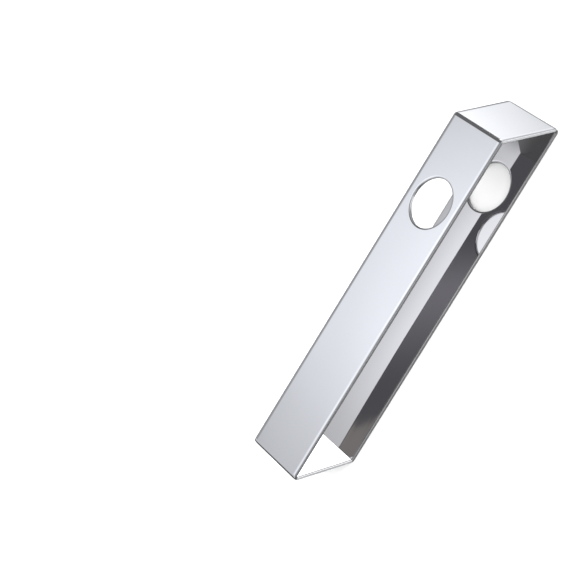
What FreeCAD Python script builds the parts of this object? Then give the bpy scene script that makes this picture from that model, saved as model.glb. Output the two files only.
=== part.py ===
# Bottle holder folded from one strip of polished stainless steel. Units are millimetres.
#
# The strip is folded into a closed loop whose side view is a narrow leaning parallelogram:
# a short foot plate, a long front wall, a short top plate and a long rear wall. Each long
# wall has a round hole, cut square to the sheet and equally far from the wall's top corner,
# so the line through both holes' centres is level, parallel to the foot plate.
#
# Loaded through its holes the holder balances on the foot plate. Empty, it tips over and
# comes to rest flat on its rear wall, and that is how it is modelled here: the outer face
# of the rear wall lies on Z = 0, X runs along the walls from the foot plate to the top
# plate, Y runs across the strip, and the origin is under the middle of the loop.

import FreeCAD, Part
import Sketcher
import os
from math import cos, pi, radians, sin

os.makedirs("parts", exist_ok=True)
doc = FreeCAD.newDocument("bottle_holder")

# Driving dimensions: name, value, meaning
DIMENSIONS = (
    ("strip_width", "50", "width of the strip"),
    ("sheet_thickness", "2.5", "thickness of the sheet"),
    ("wall_length", "262", "front and rear walls, between their outer corners"),
    ("foot_depth", "50", "foot and top plates, between their outer corners"),
    ("lean_angle", "57", "degrees between the foot plate and the walls"),
    ("fold_inner_radius", "0.5", "inside radius of the four folds"),
    ("hole_diameter", "35", "round hole in each long wall"),
    ("hole_from_top", "58", "hole's centre from its wall's outer top corner, along the wall"),
    ("edge_rounding", "0.5", "rounding of the strip's long edges"),
    ("rim_rounding", "0.5", "rounding of the holes' rims"),
)

sheet = doc.addObject("Spreadsheet::Sheet", "Sizes")
for row, (alias, value, meaning) in enumerate(DIMENSIONS, start=1):
    sheet.set("A%d" % row, alias)
    sheet.set("B%d" % row, value)
    sheet.setAlias("B%d" % row, alias)
    sheet.set("C%d" % row, meaning)
doc.recompute()

# Expressions shared by several features
LEAN = "(Sizes.lean_angle * 1 deg)"
RISE = "Sizes.foot_depth * sin(%s)" % LEAN
OVERHANG = "Sizes.foot_depth * cos(%s)" % LEAN
FRONT_TOP = "(Sizes.wall_length - %s) / 2" % OVERHANG
REAR_TOP = "(Sizes.wall_length + %s) / 2" % OVERHANG

# The sketcher's numbers for a line's ends, a circle's centre, and a sketch's origin and X axis
START, END, CENTRE = range(1, 4)
ORIGIN = X_AXIS = -1

SAME_PLACE = 1e-4


def origin_plane(body, role):
    """One of the body's own origin planes."""
    return next(plane for plane in body.Origin.OriginFeatures if plane.Role == role)


def flat_sketch(body, name, role):
    """An empty sketch on one of the body's origin planes."""
    sketch = body.newObject("Sketcher::SketchObject", name)
    sketch.AttachmentSupport = (origin_plane(body, role), [""])
    sketch.MapMode = "FlatFace"
    return sketch


def add_size(sketch, name, constraint, expression):
    """Add a named constraint to a sketch and bind it to the sheet."""
    sketch.renameConstraint(sketch.addConstraint(constraint), name)
    sketch.setExpression("Constraints." + name, expression)


def names_where(kind, items, test):
    """Names, such as Edge3, of the edges or faces that pass a test."""
    return ["%s%d" % (kind, number) for number, item in enumerate(items, start=1) if test(item)]


def crosses_strip(edge):
    """A straight edge along Y, where two plates meet."""
    return isinstance(edge.Curve, Part.Line) and abs(edge.Curve.Direction.y) > 1 - SAME_PLACE


def lies_in_cut_side(item):
    """An edge or face in one of the strip's two flat cut sides."""
    box = item.BoundBox
    return box.YLength < SAME_PLACE and abs(abs(box.YMax) - sheet.strip_width / 2) < SAME_PLACE


def is_hole_rim(edge):
    """A round edge of one of the two holes."""
    return (isinstance(edge.Curve, Part.Circle)
            and abs(edge.Curve.Radius - sheet.hole_diameter / 2) < SAME_PLACE)


def loop_outline(body):
    """Side view of the loop's outside: a parallelogram that lies on its rear wall."""
    lean = radians(sheet.lean_angle)
    rise = sheet.foot_depth * sin(lean)
    overhang = sheet.foot_depth * cos(lean)
    front_top = (sheet.wall_length - overhang) / 2
    rear_top = (sheet.wall_length + overhang) / 2
    corners = (
        FreeCAD.Vector(-front_top, 0, 0),
        FreeCAD.Vector(rear_top, 0, 0),
        FreeCAD.Vector(front_top, rise, 0),
        FreeCAD.Vector(-rear_top, rise, 0),
    )
    rear, top, front, foot = range(4)
    sketch = flat_sketch(body, "LoopOutline", "XZ_Plane")
    for side, corner in enumerate(corners):
        sketch.addGeometry(Part.LineSegment(corner, corners[(side + 1) % 4]), False)
    for side in range(4):
        sketch.addConstraint(Sketcher.Constraint("Coincident", side, END, (side + 1) % 4, START))
    sketch.addConstraint(Sketcher.Constraint("Horizontal", rear))
    sketch.addConstraint(Sketcher.Constraint("PointOnObject", rear, START, X_AXIS))
    sketch.addConstraint(Sketcher.Constraint("Parallel", front, rear))
    sketch.addConstraint(Sketcher.Constraint("Parallel", top, foot))
    add_size(sketch, "wall_length",
             Sketcher.Constraint("Distance", rear, sheet.wall_length), "Sizes.wall_length")
    add_size(sketch, "foot_depth",
             Sketcher.Constraint("Distance", foot, sheet.foot_depth), "Sizes.foot_depth")
    add_size(sketch, "lean",
             Sketcher.Constraint("Angle", foot, START, front, END, lean), LEAN)
    add_size(sketch, "foot_corner",
             Sketcher.Constraint("DistanceX", rear, START, ORIGIN, START, front_top), FRONT_TOP)
    return sketch


def folded_loop(body):
    """The strip's loop with its four tight folds, hollow from side to side."""
    block = body.newObject("PartDesign::Pad", "LoopBlock")
    block.Profile = loop_outline(body)
    block.Midplane = True
    block.setExpression("Length", "Sizes.strip_width")
    doc.recompute()

    folds = body.newObject("PartDesign::Fillet", "Folds")
    folds.Base = (block, names_where("Edge", block.Shape.Edges, crosses_strip))
    folds.setExpression("Radius", "Sizes.fold_inner_radius + Sizes.sheet_thickness")
    doc.recompute()

    loop = body.newObject("PartDesign::Thickness", "SheetLoop")
    loop.Base = (folds, names_where("Face", folds.Shape.Faces, lies_in_cut_side))
    loop.Reversed = True
    loop.setExpression("Value", "Sizes.sheet_thickness")
    doc.recompute()
    return loop


def wall_hole(body, name, wall_top, wall_height, upwards):
    """A round hole cut from a wall's outer face into the middle of the loop."""
    # The sketch lies on the wall's outer face, with its origin at the wall's top corner.
    sketch = flat_sketch(body, name + "Outline", "XY_Plane")
    sketch.setExpression("AttachmentOffset.Base.x", wall_top)
    sketch.setExpression("AttachmentOffset.Base.z", wall_height)
    circle = sketch.addGeometry(
        Part.Circle(FreeCAD.Vector(-sheet.hole_from_top, 0, 0), FreeCAD.Vector(0, 0, 1),
                    sheet.hole_diameter / 2), False)
    sketch.addConstraint(Sketcher.Constraint("PointOnObject", circle, CENTRE, X_AXIS))
    add_size(sketch, "from_top",
             Sketcher.Constraint("DistanceX", circle, CENTRE, ORIGIN, START, sheet.hole_from_top),
             "Sizes.hole_from_top")
    add_size(sketch, "diameter",
             Sketcher.Constraint("Diameter", circle, sheet.hole_diameter), "Sizes.hole_diameter")

    hole = body.newObject("PartDesign::Pocket", name)
    hole.Profile = sketch
    hole.Reversed = upwards
    hole.setExpression("Length", RISE + " / 2")
    doc.recompute()
    return hole


def round_edges(body, name, base, test, expression):
    """Round the base's edges that pass a test."""
    rounding = body.newObject("PartDesign::Fillet", name)
    rounding.Base = (base, names_where("Edge", base.Shape.Edges, test))
    rounding.setExpression("Radius", expression)
    doc.recompute()
    return rounding


def folded_band():
    """The whole holder: one folded strip with two holes."""
    body = doc.addObject("PartDesign::Body", "FoldedBand")
    body.Label = "folded_band"
    loop = folded_loop(body)
    rear_hole = wall_hole(body, "RearHole", REAR_TOP, "0", upwards=True)
    check_hole(loop, rear_hole)
    front_hole = wall_hole(body, "FrontHole", FRONT_TOP, RISE, upwards=False)
    check_hole(rear_hole, front_hole)
    edges = round_edges(body, "EdgeRounding", front_hole, lies_in_cut_side, "Sizes.edge_rounding")
    round_edges(body, "RimRounding", edges, is_hole_rim, "Sizes.rim_rounding")
    return body


def check_hole(before, after):
    """A hole has to take one disc of the sheet's thickness out of its wall."""
    expected = sheet.sheet_thickness * pi * (sheet.hole_diameter / 2) ** 2
    removed = before.Shape.Volume - after.Shape.Volume
    if abs(removed - expected) > 0.001 * expected:
        raise RuntimeError("%s removes %.1f mm3, not %.1f mm3" % (after.Label, removed, expected))


def check_document(bodies):
    """Stop if a feature failed, or a body isn't one valid solid."""
    for item in doc.Objects:
        if "Invalid" in item.State or "Error" in item.State:
            raise RuntimeError("%s failed: %s" % (item.Label, item.State))
    for body in bodies:
        shape = body.Shape
        if shape.isNull() or not shape.isValid() or len(shape.Solids) != 1:
            raise RuntimeError("%s isn't one valid solid" % body.Label)


BODIES = [folded_band()]
doc.recompute()
check_document(BODIES)
for body in BODIES:
    box = body.Shape.optimalBoundingBox(False, False)
    print("%s: %.1f x %.1f x %.1f mm, %.0f mm3" % (
        body.Label, box.XLength, box.YLength, box.ZLength, body.Shape.Volume))
    body.Shape.exportStep("parts/%s.step" % body.Label)
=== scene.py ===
"""Looks of the folded steel holder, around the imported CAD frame. Units are metres."""

from collections import namedtuple
from math import cos, pi, radians, sin, tan

import bpy
from mathutils import Euler, Matrix, Vector


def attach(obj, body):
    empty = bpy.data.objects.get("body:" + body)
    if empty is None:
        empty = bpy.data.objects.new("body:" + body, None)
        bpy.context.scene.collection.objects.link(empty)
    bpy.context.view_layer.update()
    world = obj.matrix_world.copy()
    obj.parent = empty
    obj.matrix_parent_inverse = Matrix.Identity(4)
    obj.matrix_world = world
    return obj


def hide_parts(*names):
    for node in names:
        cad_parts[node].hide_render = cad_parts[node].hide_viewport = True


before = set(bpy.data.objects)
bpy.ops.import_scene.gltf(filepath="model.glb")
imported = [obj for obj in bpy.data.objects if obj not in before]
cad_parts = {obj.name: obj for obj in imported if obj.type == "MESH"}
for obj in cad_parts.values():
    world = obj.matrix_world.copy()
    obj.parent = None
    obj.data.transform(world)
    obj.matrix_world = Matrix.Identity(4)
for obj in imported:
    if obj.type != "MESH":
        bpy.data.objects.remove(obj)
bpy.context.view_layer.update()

# The sheet and its folds, as in the part's source
STRIP_WIDTH = 0.050
SHEET = 0.0025
WALL_LENGTH = 0.262
FOOT_DEPTH = 0.050
LEAN = radians(57)
FOLD_INNER_RADIUS = 0.0005
FOLD_OUTER_RADIUS = FOLD_INNER_RADIUS + SHEET
HOLE_RADIUS = 0.0175
HOLE_FROM_TOP = 0.058

# The loop's four sides are numbered from the rear wall on, over the top plate. Two have a hole.
SIDES = 4
REAR_WALL = 0
FRONT_WALL = 2

# The edges and rims: how wide polishing has rolled the face off beside them, most of all
# outside, and the radius of the tight rounding that follows
OUTER_EDGE = (0.0028, 0.0003)
INNER_EDGE = (0.0004, 0.0008)
RIM_EDGE = (0.0010, 0.0005)
ROLL_OFF_TILT = radians(9)

# How far the middle of the rear wall stands up into the loop, as its reflections show
REAR_CROWN = 0.00050

# How many steps divide a fold, the two parts of an edge, each side of the square round a hole,
# a plain stretch of a side, and the flat from that square to the hole's rim
FOLD_STEPS = 24
ROLL_OFF_STEPS = 4
ROUNDING_STEPS = 6
HOLE_STEPS_A_SIDE = 24
PLAIN_STEPS = 4
FLAT_STEPS = 3

# Finishes, in the order of the band's materials; the inner one's darker colour is painted shade. A
# face is outer or inner where the cosine of its normal's angle to the sheet's outward or inward
# direction is above CUT_LEANING, else cut.
OUTER, INNER, CUT = range(3)
CUT_LEANING = 0.5

# How close a cosine is to -1 where two directions are opposite
SAME_DIRECTION = 1e-6

# Mirror polish: its colour, and its roughness where it is clearest and where it is haziest
OUTER_POLISH = ((0.775, 0.785, 0.815), 0.03, 0.07)
# The inner faces' darker colour is painted shade for the dimmer reflections inside the loop; their
# roughness is the real polish.
INNER_POLISH_AND_PAINTED_SHADE = ((0.625, 0.62, 0.635), 0.02, 0.04)
HAZE_NOISE = {"Scale": 38.0, "Detail": 4.0, "Roughness": 0.55}
HAZE_RANGE = (0.35, 0.70)
WAVE_NOISE = {"Scale": 14.0, "Detail": 1.0}
WAVE_BUMP = {"Strength": 0.06, "Distance": 0.002}

# Ground steel: its colour, and its roughness where it is least and most worn
GROUND_COLOUR = (0.76, 0.77, 0.79)
GROUND_ROUGHNESS = (0.40, 0.50)
GROUND_ANISOTROPY = 0.9
WEAR_NOISE = {"Scale": 160.0, "Detail": 3.0}
WEAR_RANGE = (0.3, 0.7)

# The camera, where it sees the holder as the photograph does; its turn is in degrees
CAMERA_PLACE = (0.13764, -0.83599, 0.91352)
CAMERA_TURN = (22.9169, 41.9713, -46.3351)
CAMERA_LENS_MM = 115.56
CAMERA_SENSOR_MM = 36.0
CAMERA_NEAREST = 0.01

FLOOR_SIZE = 12.0
FLOOR_COLOUR = (0.93, 0.93, 0.93)
FLOOR_ROUGHNESS = 0.9


def finish_of(leaning):
    """A face's finish, from the cosine of its normal's angle to the sheet's outward direction."""
    if leaning > CUT_LEANING:
        return OUTER
    if leaning < -CUT_LEANING:
        return INNER
    return CUT


class MeshParts:
    """Points with their true surface normals, and the faces between them with their finish."""

    def __init__(self):
        self.points = []
        self.normals = []
        self.outwards = []
        self.faces = []
        self.finishes = []

    def add(self, point, normal, outward):
        """A point, its normal, and the outward direction of the sheet there."""
        self.points.append(point)
        self.normals.append(normal.normalized())
        self.outwards.append(outward)
        return len(self.points) - 1

    def quad(self, *corners):
        """A quad that faces the way its corners' normals point."""
        first, second, third = (self.points[index] for index in corners[:3])
        facing = (second - first).cross(third - second)
        normal = sum((self.normals[index] for index in corners), Vector())
        self.faces.append(corners if facing.dot(normal) > 0 else corners[::-1])
        self.finishes.append(finish_of(normal.normalized().dot(self.outwards[corners[0]])))

    def bridge(self, near, far):
        """Quads between two closed loops of equally many points."""
        for here in range(len(near)):
            there = (here + 1) % len(near)
            self.quad(near[here], near[there], far[there], far[here])


class Station:
    """A place along the strip: a point of the outer face, and the outward direction there."""

    def __init__(self, place, outward):
        self.place = place
        self.outward = outward

    def point(self, across, depth):
        """The sheet's point this far across from the strip's middle and below the outer face."""
        return self.place + Vector((0, across, 0)) - depth * self.outward


# The square round a hole: its first station, the hole's centre, and the outward direction
Bay = namedtuple("Bay", ("first", "centre", "outward"))


def steps(first, last, count):
    """count equal steps from first to last, both ends included."""
    return [first + (last - first) * step / count for step in range(count + 1)]


def edge_width(edge):
    """How far in from the cut side, or from a hole's wall, a rounded edge starts."""
    roll_off, rounding = edge
    return roll_off + rounding * (1 - sin(ROLL_OFF_TILT))


def edge_section(edge):
    """The section of a rounded edge: distance in from the cut side, depth, and the normal's tilt.

    It starts on the flat, rolls off gently and then turns tightly into the cut side.
    """
    roll_off, rounding = edge
    radius = roll_off / sin(ROLL_OFF_TILT)
    drop = radius * (1 - cos(ROLL_OFF_TILT))
    section = []
    for tilt in steps(0, ROLL_OFF_TILT, ROLL_OFF_STEPS)[:-1]:
        section.append((edge_width(edge) - radius * sin(tilt), radius * (1 - cos(tilt)), tilt))
    for tilt in steps(ROLL_OFF_TILT, pi / 2, ROUNDING_STEPS):
        section.append((rounding * (1 - sin(tilt)),
                        drop + rounding * (cos(ROLL_OFF_TILT) - cos(tilt)), tilt))
    return section


def bay_places():
    """Distances from a hole's centre at which rays at equal angles cross the square around it."""
    half = STRIP_WIDTH / 2 - edge_width(OUTER_EDGE)
    return [half * tan(angle) for angle in steps(-pi / 4, pi / 4, HOLE_STEPS_A_SIDE)]


def loop_corners():
    """Outer corners of the loop's side view, each at the start of its side."""
    rise = FOOT_DEPTH * sin(LEAN)
    front_top = (WALL_LENGTH - FOOT_DEPTH * cos(LEAN)) / 2
    rear_top = (WALL_LENGTH + FOOT_DEPTH * cos(LEAN)) / 2
    return [Vector((-front_top, 0, 0)), Vector((rear_top, 0, 0)),
            Vector((front_top, 0, rise)), Vector((-rear_top, 0, rise))]


def fold_stations(start, outward, turn):
    """Stations of the fold after a side's last one, which turns about a centre inside the loop."""
    centre = start - FOLD_OUTER_RADIUS * outward
    directions = [Matrix.Rotation(-angle, 3, "Y") @ outward
                  for angle in steps(0, turn, FOLD_STEPS)[1:-1]]
    return [Station(centre + FOLD_OUTER_RADIUS * direction, direction)
            for direction in directions]


def strip_stations():
    """Stations round the whole loop, and the bay round each hole."""
    corners = loop_corners()
    # How far each hole is from its side's start: the rear wall runs up, the front wall down
    holes = {REAR_WALL: WALL_LENGTH - HOLE_FROM_TOP, FRONT_WALL: HOLE_FROM_TOP}
    stations = []
    bays = []
    for side, start in enumerate(corners):
        end = corners[(side + 1) % SIDES]
        before = corners[side - 1] - start
        after = corners[(side + 2) % SIDES] - end
        length = (end - start).length
        along = (end - start) / length
        outward = Vector((along.z, 0, -along.x))
        first = FOLD_OUTER_RADIUS / tan(before.angle(along) / 2)
        last = length - FOLD_OUTER_RADIUS / tan(after.angle(-along) / 2)
        places = steps(first, last, PLAIN_STEPS)
        if side in holes:
            bay = [holes[side] + place for place in bay_places()]
            before_bay = steps(first, bay[0], PLAIN_STEPS)[:-1]
            after_bay = steps(bay[-1], last, PLAIN_STEPS)[1:]
            places = before_bay + bay + after_bay
            centre = start + holes[side] * along
            bays.append(Bay(len(stations) + len(before_bay), centre, outward))
        stations += [Station(start + place * along, outward) for place in places]
        stations += fold_stations(start + last * along, outward, pi - after.angle(-along))
    return stations, bays


def strip_profile():
    """The strip's section: both flats, both cut sides, and the four roundings between them.

    Each point has its place across the strip, its depth, and its normal across and outward.
    The two lists that follow say which points are each flat's, its own ends included.
    """
    half = STRIP_WIDTH / 2
    flat = bay_places()[1:-1]
    outer_flat = [(across, 0, 0, 1) for across in flat]
    inner_flat = [(across, SHEET, 0, -1) for across in reversed(flat)]
    side = [(half - inset, depth, sin(tilt), cos(tilt))
            for inset, depth, tilt in edge_section(OUTER_EDGE)]
    side += [(half - inset, SHEET - depth, sin(tilt), -cos(tilt))
             for inset, depth, tilt in reversed(edge_section(INNER_EDGE))]
    other_side = [(-across, depth, -normal_across, normal_outward)
                  for across, depth, normal_across, normal_outward in reversed(side)]
    profile = outer_flat + side + inner_flat + other_side
    outer_places = [len(profile) - 1] + list(range(len(flat) + 1))
    first_inner = len(flat) + len(side) - 1
    inner_places = list(range(first_inner, first_inner + len(flat) + 2))
    return profile, outer_places, inner_places


def square_round_hole(grid, first, flat):
    """The grid's points round a bay, in the order of rising angle about the hole's centre."""
    last = first + HOLE_STEPS_A_SIDE
    near, far = flat[0], flat[-1]
    loop = [grid[station][near] for station in range(first, last)]
    loop += [grid[last][place] for place in flat[:-1]]
    loop += [grid[station][far] for station in range(last, first, -1)]
    loop += [grid[first][place] for place in reversed(flat[1:])]
    return loop


def cut_hole(parts, grid, bay, outer_flat, inner_flat):
    """The two flats round a hole, its rounded rims and its wall."""
    outer = square_round_hole(grid, bay.first, outer_flat)
    inner = square_round_hole(grid, bay.first, inner_flat[::-1])
    rays = [(parts.points[index] - bay.centre).normalized() for index in outer]

    def point(ray, inset, depth):
        """A point along a ray, this far out from the hole's wall and below the outer face."""
        return bay.centre + (HOLE_RADIUS + inset) * ray - depth * bay.outward

    def ring(inset, depth, tilt):
        """A ring of the hole's edge; its normals turn from outward to the hole's axis."""
        return [parts.add(point(ray, inset, depth),
                          cos(tilt) * bay.outward - sin(tilt) * ray, bay.outward) for ray in rays]

    def flat_rings(square, depth, normal):
        """Rings between the square and the rim, on the flat."""
        rings = []
        for share in steps(0, 1, FLAT_STEPS)[1:-1]:
            loop = []
            for index, ray in zip(square, rays):
                rim_point = point(ray, edge_width(RIM_EDGE), depth)
                between = parts.points[index].lerp(rim_point, share)
                loop.append(parts.add(between, normal, bay.outward))
            rings.append(loop)
        return rings

    rim = edge_section(RIM_EDGE)
    loops = [outer] + flat_rings(outer, 0, bay.outward)
    loops += [ring(inset, depth, tilt) for inset, depth, tilt in rim]
    loops += [ring(inset, SHEET - depth, pi - tilt) for inset, depth, tilt in reversed(rim)]
    loops += flat_rings(inner, SHEET, -bay.outward)[::-1] + [inner]
    for near, far in zip(loops, loops[1:]):
        parts.bridge(near, far)


def folded_band_mesh():
    """The whole strip as one closed surface of quads."""
    stations, bays = strip_stations()
    profile, outer_flat, inner_flat = strip_profile()
    parts = MeshParts()
    grid = []
    for station in stations:
        row = []
        for across, depth, normal_across, normal_outward in profile:
            normal = Vector((0, normal_across, 0)) + normal_outward * station.outward
            row.append(parts.add(station.point(across, depth), normal, station.outward))
        grid.append(row)
    in_bay = {bay.first + step for bay in bays for step in range(HOLE_STEPS_A_SIDE)}
    in_flat = set(outer_flat[:-1]) | set(inner_flat[:-1])
    for here, row in enumerate(grid):
        next_row = grid[(here + 1) % len(grid)]
        for place in range(len(profile)):
            if here in in_bay and place in in_flat:
                continue
            beside = (place + 1) % len(profile)
            parts.quad(row[place], next_row[place], next_row[beside], row[beside])
    for bay in bays:
        cut_hole(parts, grid, bay, outer_flat, inner_flat)
    return parts


def crown_rear_wall(parts):
    """Raise the rear wall's middle into the loop; its edges and ends stay where they are."""
    middle = FOOT_DEPTH * cos(LEAN) / 2
    half_length = WALL_LENGTH / 2
    half_width = STRIP_WIDTH / 2
    for index, (point, outward) in enumerate(zip(parts.points, parts.outwards)):
        # Only the rear wall's outward direction is straight down.
        if outward.z > -1 + SAME_DIRECTION:
            continue
        along = (point.x - middle) / half_length
        across = point.y / half_width
        slope = Vector((-2 * along * (1 - across ** 2) / half_length,
                        -2 * across * (1 - along ** 2) / half_width, 0)) * REAR_CROWN
        point.z += REAR_CROWN * (1 - along ** 2) * (1 - across ** 2)
        normal = parts.normals[index]
        parts.normals[index] = (normal - normal.z * slope).normalized()


def make_folded_band():
    """The folded strip as a Blender object with its exact normals."""
    parts = folded_band_mesh()
    crown_rear_wall(parts)
    mesh = bpy.data.meshes.new("polished_band")
    mesh.from_pydata([tuple(point) for point in parts.points], [], parts.faces)
    mesh.shade_smooth()
    mesh.normals_split_custom_set_from_vertices([tuple(normal) for normal in parts.normals])
    mesh.polygons.foreach_set("material_index", parts.finishes)
    outwards = mesh.attributes.new("outward", "FLOAT_VECTOR", "POINT")
    outwards.data.foreach_set("vector", [value for outward in parts.outwards for value in outward])
    band = bpy.data.objects.new("polished_band", mesh)
    bpy.context.scene.collection.objects.link(band)
    return band


class Nodes:
    """Short ways to add and link the nodes of one tree."""

    def __init__(self, tree):
        self.tree = tree

    def add(self, kind, settings=(), inputs=()):
        """A node with its settings, and its inputs' values or the sockets linked to them."""
        node = self.tree.nodes.new(kind)
        for name, value in dict(settings).items():
            setattr(node, name, value)
        for name, value in dict(inputs).items():
            if isinstance(value, bpy.types.NodeSocket):
                self.tree.links.new(value, node.inputs[name])
            else:
                node.inputs[name].default_value = value
        return node

    def math(self, operation, first, second=0.0):
        """The result of an operation on one or two numbers."""
        node = self.add("ShaderNodeMath", {"operation": operation}, {0: first, 1: second})
        return node.outputs[0]

    def vector_math(self, operation, inputs):
        """The result of an operation on vectors."""
        return self.add("ShaderNodeVectorMath", {"operation": operation}, inputs).outputs[0]

    def between(self, value, low, high, new_low=0.0, new_high=1.0):
        """A smooth rise from new_low to new_high while value goes from low to high."""
        node = self.add("ShaderNodeMapRange", {"interpolation_type": "SMOOTHSTEP"},
                        {"Value": value, "From Min": low, "From Max": high,
                         "To Min": new_low, "To Max": new_high})
        return node.outputs["Result"]

    def noise(self, place, shape):
        """A noise's value, from 0 to 1, at a place of the object."""
        return self.add("ShaderNodeTexNoise", inputs={"Vector": place, **shape}).outputs["Fac"]


def emptied_nodes(owner):
    """The tree of a material or world, without the nodes that it starts with."""
    owner.use_nodes = True
    owner.node_tree.nodes.clear()
    return Nodes(owner.node_tree)


def polished_steel(name, colour, clearest, haziest):
    """Stainless steel polished to a mirror, with faint polishing haze and a slight waviness."""
    material = bpy.data.materials.new(name)
    nodes = emptied_nodes(material)
    place = nodes.add("ShaderNodeTexCoord").outputs["Object"]
    haze = nodes.noise(place, HAZE_NOISE)
    roughness = nodes.between(haze, *HAZE_RANGE, clearest, haziest)
    waves = nodes.noise(place, WAVE_NOISE)
    bump = nodes.add("ShaderNodeBump", inputs={"Height": waves, **WAVE_BUMP})
    shader = nodes.add("ShaderNodeBsdfPrincipled", inputs={
        "Metallic": 1.0,
        "Base Color": (*colour, 1.0),
        "Roughness": roughness,
        "Normal": bump.outputs["Normal"],
    })
    nodes.add("ShaderNodeOutputMaterial", inputs={"Surface": shader.outputs["BSDF"]})
    return material


def ground_steel():
    """The cut edges: ground along their length, so they spread the light across the sheet."""
    material = bpy.data.materials.new("ground_edge_steel")
    nodes = emptied_nodes(material)
    across_sheet = nodes.add("ShaderNodeAttribute", {"attribute_name": "outward"})
    place = nodes.add("ShaderNodeTexCoord").outputs["Object"]
    wear = nodes.noise(place, WEAR_NOISE)
    shader = nodes.add("ShaderNodeBsdfPrincipled", inputs={
        "Metallic": 1.0,
        "Base Color": (*GROUND_COLOUR, 1.0),
        "Roughness": nodes.between(wear, *WEAR_RANGE, *GROUND_ROUGHNESS),
        "Anisotropic": GROUND_ANISOTROPY,
        "Tangent": across_sheet.outputs["Vector"],
    })
    nodes.add("ShaderNodeOutputMaterial", inputs={"Surface": shader.outputs["BSDF"]})
    return material


def grey(level):
    """A light without a tint."""
    return (level, level, level)


# What the steel mirrors: softboxes by direction. Each has its azimuths round Z from +X, its
# elevations above the floor, both in degrees, and its light's colour. The light fades at each
# edge, so the azimuths are left out, left in, right in and right out, and the elevations low
# out, low in, high in and high out.
SOFTBOXES = {
    "rear_wall": ((89.5, 91.2, 108, 111), (33, 52, 54, 63), (0.68, 0.69, 0.71)),
    "rear_wall_middle": ((87, 97.5, 100.8, 110.2), (33, 52, 54, 63), (0.48, 0.49, 0.52)),
    "rear_wall_left": ((108, 111, 126, 138), (18.7, 23, 57, 63), (0.50, 0.51, 0.53)),
    "rear_wall_top": ((104, 109, 135, 150), (48, 54, 57, 63), (0.36, 0.37, 0.38)),
    "rear_low": ((84, 90, 112, 118), (-12, -4, 33, 40), grey(0.24)),
    "side_floor_far": ((18, 50, 60, 70), (-23.1, -14, -14, -11), (1.39, 1.40, 1.42)),
    "side_floor_near": ((0, 37, 42.3, 43.3), (-13, -10, 8, 16), grey(0.85)),
    "side_floor_middle": ((37, 40, 42.3, 43.3), (-9.5, -6.5, 8, 16), grey(2.25)),
    "rear_corner": ((48, 54, 70, 80), (-36, -30, -23, -18), (0.16, 0.16, 0.17)),
    "rear_side": ((58, 66, 80, 88), (-18, -10, 22, 32), (0.35, 0.35, 0.36)),
    "rear_floor": ((84, 90, 112, 118), (-64, -58, -42, -32), (0.07, 0.07, 0.08)),
    "rear_floor_middle": ((95.5, 99, 99, 105), (-64, -58, -42, -32), (0.19, 0.185, 0.20)),
    "rear_floor_patch": ((130.28, 130.45, 131, 135.5), (-64, -58, -42, -32), (0.26, 0.235, 0.20)),
    "far_floor": ((125, 132, 145, 155), (-30, -23, -14, -8), grey(0.12)),
    "far_wall": ((110, 120, 134.6, 136.4), (5, 12, 19, 22), grey(0.14)),
    "near_floor": ((-112, -85, -75, -55), (-85, -70, -30, -10), grey(0.06)),
    "near_corner": ((-83, -73, -35, -20), (-50, -40, -2, 8), grey(2.00)),
    "near_side": ((-35, -20, 5, 30), (-22, -16, -3, 4), grey(0.42)),
    "side": ((0, 10, 28, 38), (14, 25, 60, 80), grey(0.60)),
    "front": ((-82, -68, -5, 5), (3, 20, 60, 80), grey(0.60)),
    "front_low": ((-118, -100, -80, -66), (8, 16, 30, 36), grey(0.50)),
    "front_high": ((-116, -103, -97, -88), (34, 46, 68, 80), (0.78, 0.755, 0.71)),
    "left": ((141, 156, 210, 232), (0, 18, 60, 80), grey(0.60)),
    "left_high": ((126, 136, 146, 156), (18.7, 23, 60, 80), grey(0.45)),
}
EDGE_SOCKETS = ("Left Out", "Left In", "Right In", "Right Out",
                "Low Out", "Low In", "High In", "High Out")
# How far a softbox's upright edges lean, in degrees of azimuth for each degree of elevation;
# its edges' azimuths are then those at elevation 0
LEANING = {"rear_floor_patch": 0.5}
# Azimuths run over a full turn from here, where there is no softbox
AZIMUTH_START = -125.0
FULL_TURN = 360.0

# The plain surround behind the softboxes: its light below and above the horizon, and what the
# ceiling and the place straight overhead add, each rising over a range of elevations
SURROUND_BELOW = 0.10
SURROUND_ABOVE = 0.15
SURROUND_RISE = (-20.0, 20.0)
CEILING = 0.08
CEILING_RISE = (50.0, 62.0)
OVERHEAD = 0.60
OVERHEAD_RISE = (74.0, 87.0)

# The even light that falls on everything, but that the steel doesn't mirror
AMBIENT = 1.9


def softbox_group():
    """A node group: 1 inside a softbox whose edges are given in degrees, 0 outside it."""
    group = bpy.data.node_groups.new("Softbox", "ShaderNodeTree")
    for name in ("Azimuth", "Elevation") + EDGE_SOCKETS:
        group.interface.new_socket(name, in_out="INPUT", socket_type="NodeSocketFloat")
    group.interface.new_socket("Light", in_out="OUTPUT", socket_type="NodeSocketFloat")
    nodes = Nodes(group)
    given = nodes.add("NodeGroupInput").outputs
    sides = [
        nodes.between(given["Azimuth"], given["Left Out"], given["Left In"]),
        nodes.between(given["Azimuth"], given["Right In"], given["Right Out"], 1.0, 0.0),
        nodes.between(given["Elevation"], given["Low Out"], given["Low In"]),
        nodes.between(given["Elevation"], given["High In"], given["High Out"], 1.0, 0.0),
    ]
    light = sides[0]
    for side in sides[1:]:
        light = nodes.math("MULTIPLY", light, side)
    nodes.add("NodeGroupOutput", inputs={"Light": light})
    return group


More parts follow.
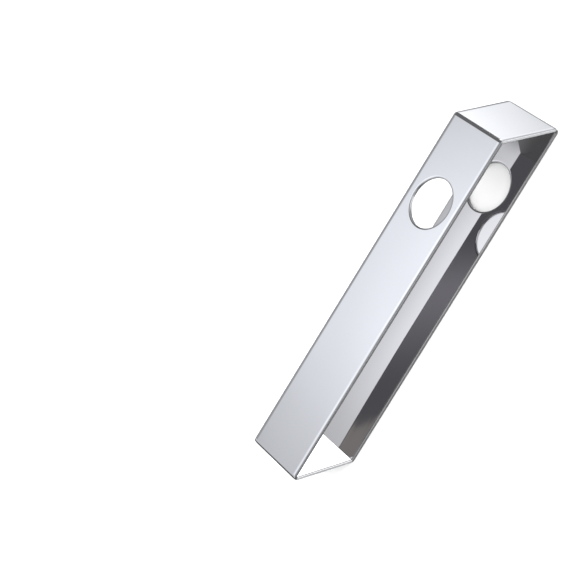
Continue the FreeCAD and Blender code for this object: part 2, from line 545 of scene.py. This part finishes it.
def direction_angles(nodes):
    """The azimuth and elevation of the direction that is looked in, in degrees."""
    direction = nodes.add("ShaderNodeTexCoord").outputs["Generated"]
    axes = nodes.add("ShaderNodeSeparateXYZ", inputs={"Vector": direction}).outputs
    elevation = nodes.math("DEGREES", nodes.math("ARCSINE", axes["Z"]))
    turned = nodes.math("DEGREES", nodes.math("ARCTAN2", axes["Y"], axes["X"]))
    turned = nodes.math("SUBTRACT", turned, AZIMUTH_START)
    turned = nodes.math("FLOORED_MODULO", turned, FULL_TURN)
    return nodes.math("ADD", turned, AZIMUTH_START), elevation


def plain_surround(nodes, elevation):
    """The light of the surround, which grows with the elevation."""
    light = nodes.between(elevation, *SURROUND_RISE, SURROUND_BELOW, SURROUND_ABOVE)
    for rise, more in ((CEILING_RISE, CEILING), (OVERHEAD_RISE, OVERHEAD)):
        light = nodes.math("ADD", light, nodes.between(elevation, *rise, 0.0, more))
    return nodes.add("ShaderNodeCombineXYZ", inputs={"X": light, "Y": light, "Z": light}).outputs[0]


def softbox(nodes, group, name, azimuth, elevation):
    """The light of one softbox."""
    azimuths, elevations, colour = SOFTBOXES[name]
    if name in LEANING:
        lean = nodes.math("MULTIPLY", elevation, LEANING[name])
        azimuth = nodes.math("SUBTRACT", azimuth, lean)
    edges = dict(zip(EDGE_SOCKETS, azimuths + elevations))
    box = nodes.add("ShaderNodeGroup", {"node_tree": group, "name": name},
                    {"Azimuth": azimuth, "Elevation": elevation, **edges})
    return nodes.vector_math("SCALE", {0: colour, "Scale": box.outputs["Light"]})


def studio():
    """Even white light for everything, and a studio of softboxes that only the steel mirrors."""
    world = bpy.data.worlds.new("studio")
    bpy.context.scene.world = world
    nodes = emptied_nodes(world)
    azimuth, elevation = direction_angles(nodes)
    light = plain_surround(nodes, elevation)
    group = softbox_group()
    for name in SOFTBOXES:
        more = softbox(nodes, group, name, azimuth, elevation)
        light = nodes.vector_math("ADD", {0: light, 1: more})
    mirrored = nodes.add("ShaderNodeBackground", inputs={"Color": light, "Strength": 1.0})
    even = nodes.add("ShaderNodeBackground",
                     inputs={"Color": (1.0, 1.0, 1.0, 1.0), "Strength": AMBIENT})
    # The mix's input 2 is what mirrored rays see, and its input 1 is for all others.
    is_glossy = nodes.add("ShaderNodeLightPath").outputs["Is Glossy Ray"]
    mix = nodes.add("ShaderNodeMixShader",
                    inputs={"Fac": is_glossy, 1: even.outputs[0], 2: mirrored.outputs[0]})
    nodes.add("ShaderNodeOutputWorld", inputs={"Surface": mix.outputs[0]})


def pale_floor():
    """A plain white floor, kept out of the steel's reflections."""
    half = FLOOR_SIZE / 2
    mesh = bpy.data.meshes.new("floor")
    mesh.from_pydata([(-half, -half, 0), (half, -half, 0), (half, half, 0), (-half, half, 0)],
                     [], [(0, 1, 2, 3)])
    material = bpy.data.materials.new("pale_floor")
    material.use_nodes = True
    shader = material.node_tree.nodes["Principled BSDF"]
    shader.inputs["Base Color"].default_value = (*FLOOR_COLOUR, 1.0)
    shader.inputs["Roughness"].default_value = FLOOR_ROUGHNESS
    shader.inputs["Specular IOR Level"].default_value = 0.0
    mesh.materials.append(material)
    floor = bpy.data.objects.new("floor", mesh)
    bpy.context.scene.collection.objects.link(floor)
    floor.visible_glossy = False


def photo_camera():
    """The camera at the photograph's viewing angle."""
    data = bpy.data.cameras.new("camera")
    data.sensor_width = CAMERA_SENSOR_MM
    data.lens = CAMERA_LENS_MM
    data.clip_start = CAMERA_NEAREST
    camera = bpy.data.objects.new("camera", data)
    camera.location = CAMERA_PLACE
    camera.rotation_euler = Euler([radians(angle) for angle in CAMERA_TURN])
    bpy.context.scene.collection.objects.link(camera)
    bpy.context.scene.camera = camera


photo_camera()
studio()
pale_floor()
band = make_folded_band()
band.data.materials.append(polished_steel("polished_steel", *OUTER_POLISH))
# The inner faces get a darker copy of the steel, which is painted shade for the dimmer reflections
# inside the loop.
band.data.materials.append(polished_steel("polished_inner_steel_and_painted_shade", *INNER_POLISH_AND_PAINTED_SHADE))
band.data.materials.append(ground_steel())
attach(band, "root")
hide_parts("folded_band")
bpy.context.scene.view_settings.view_transform = "Standard"
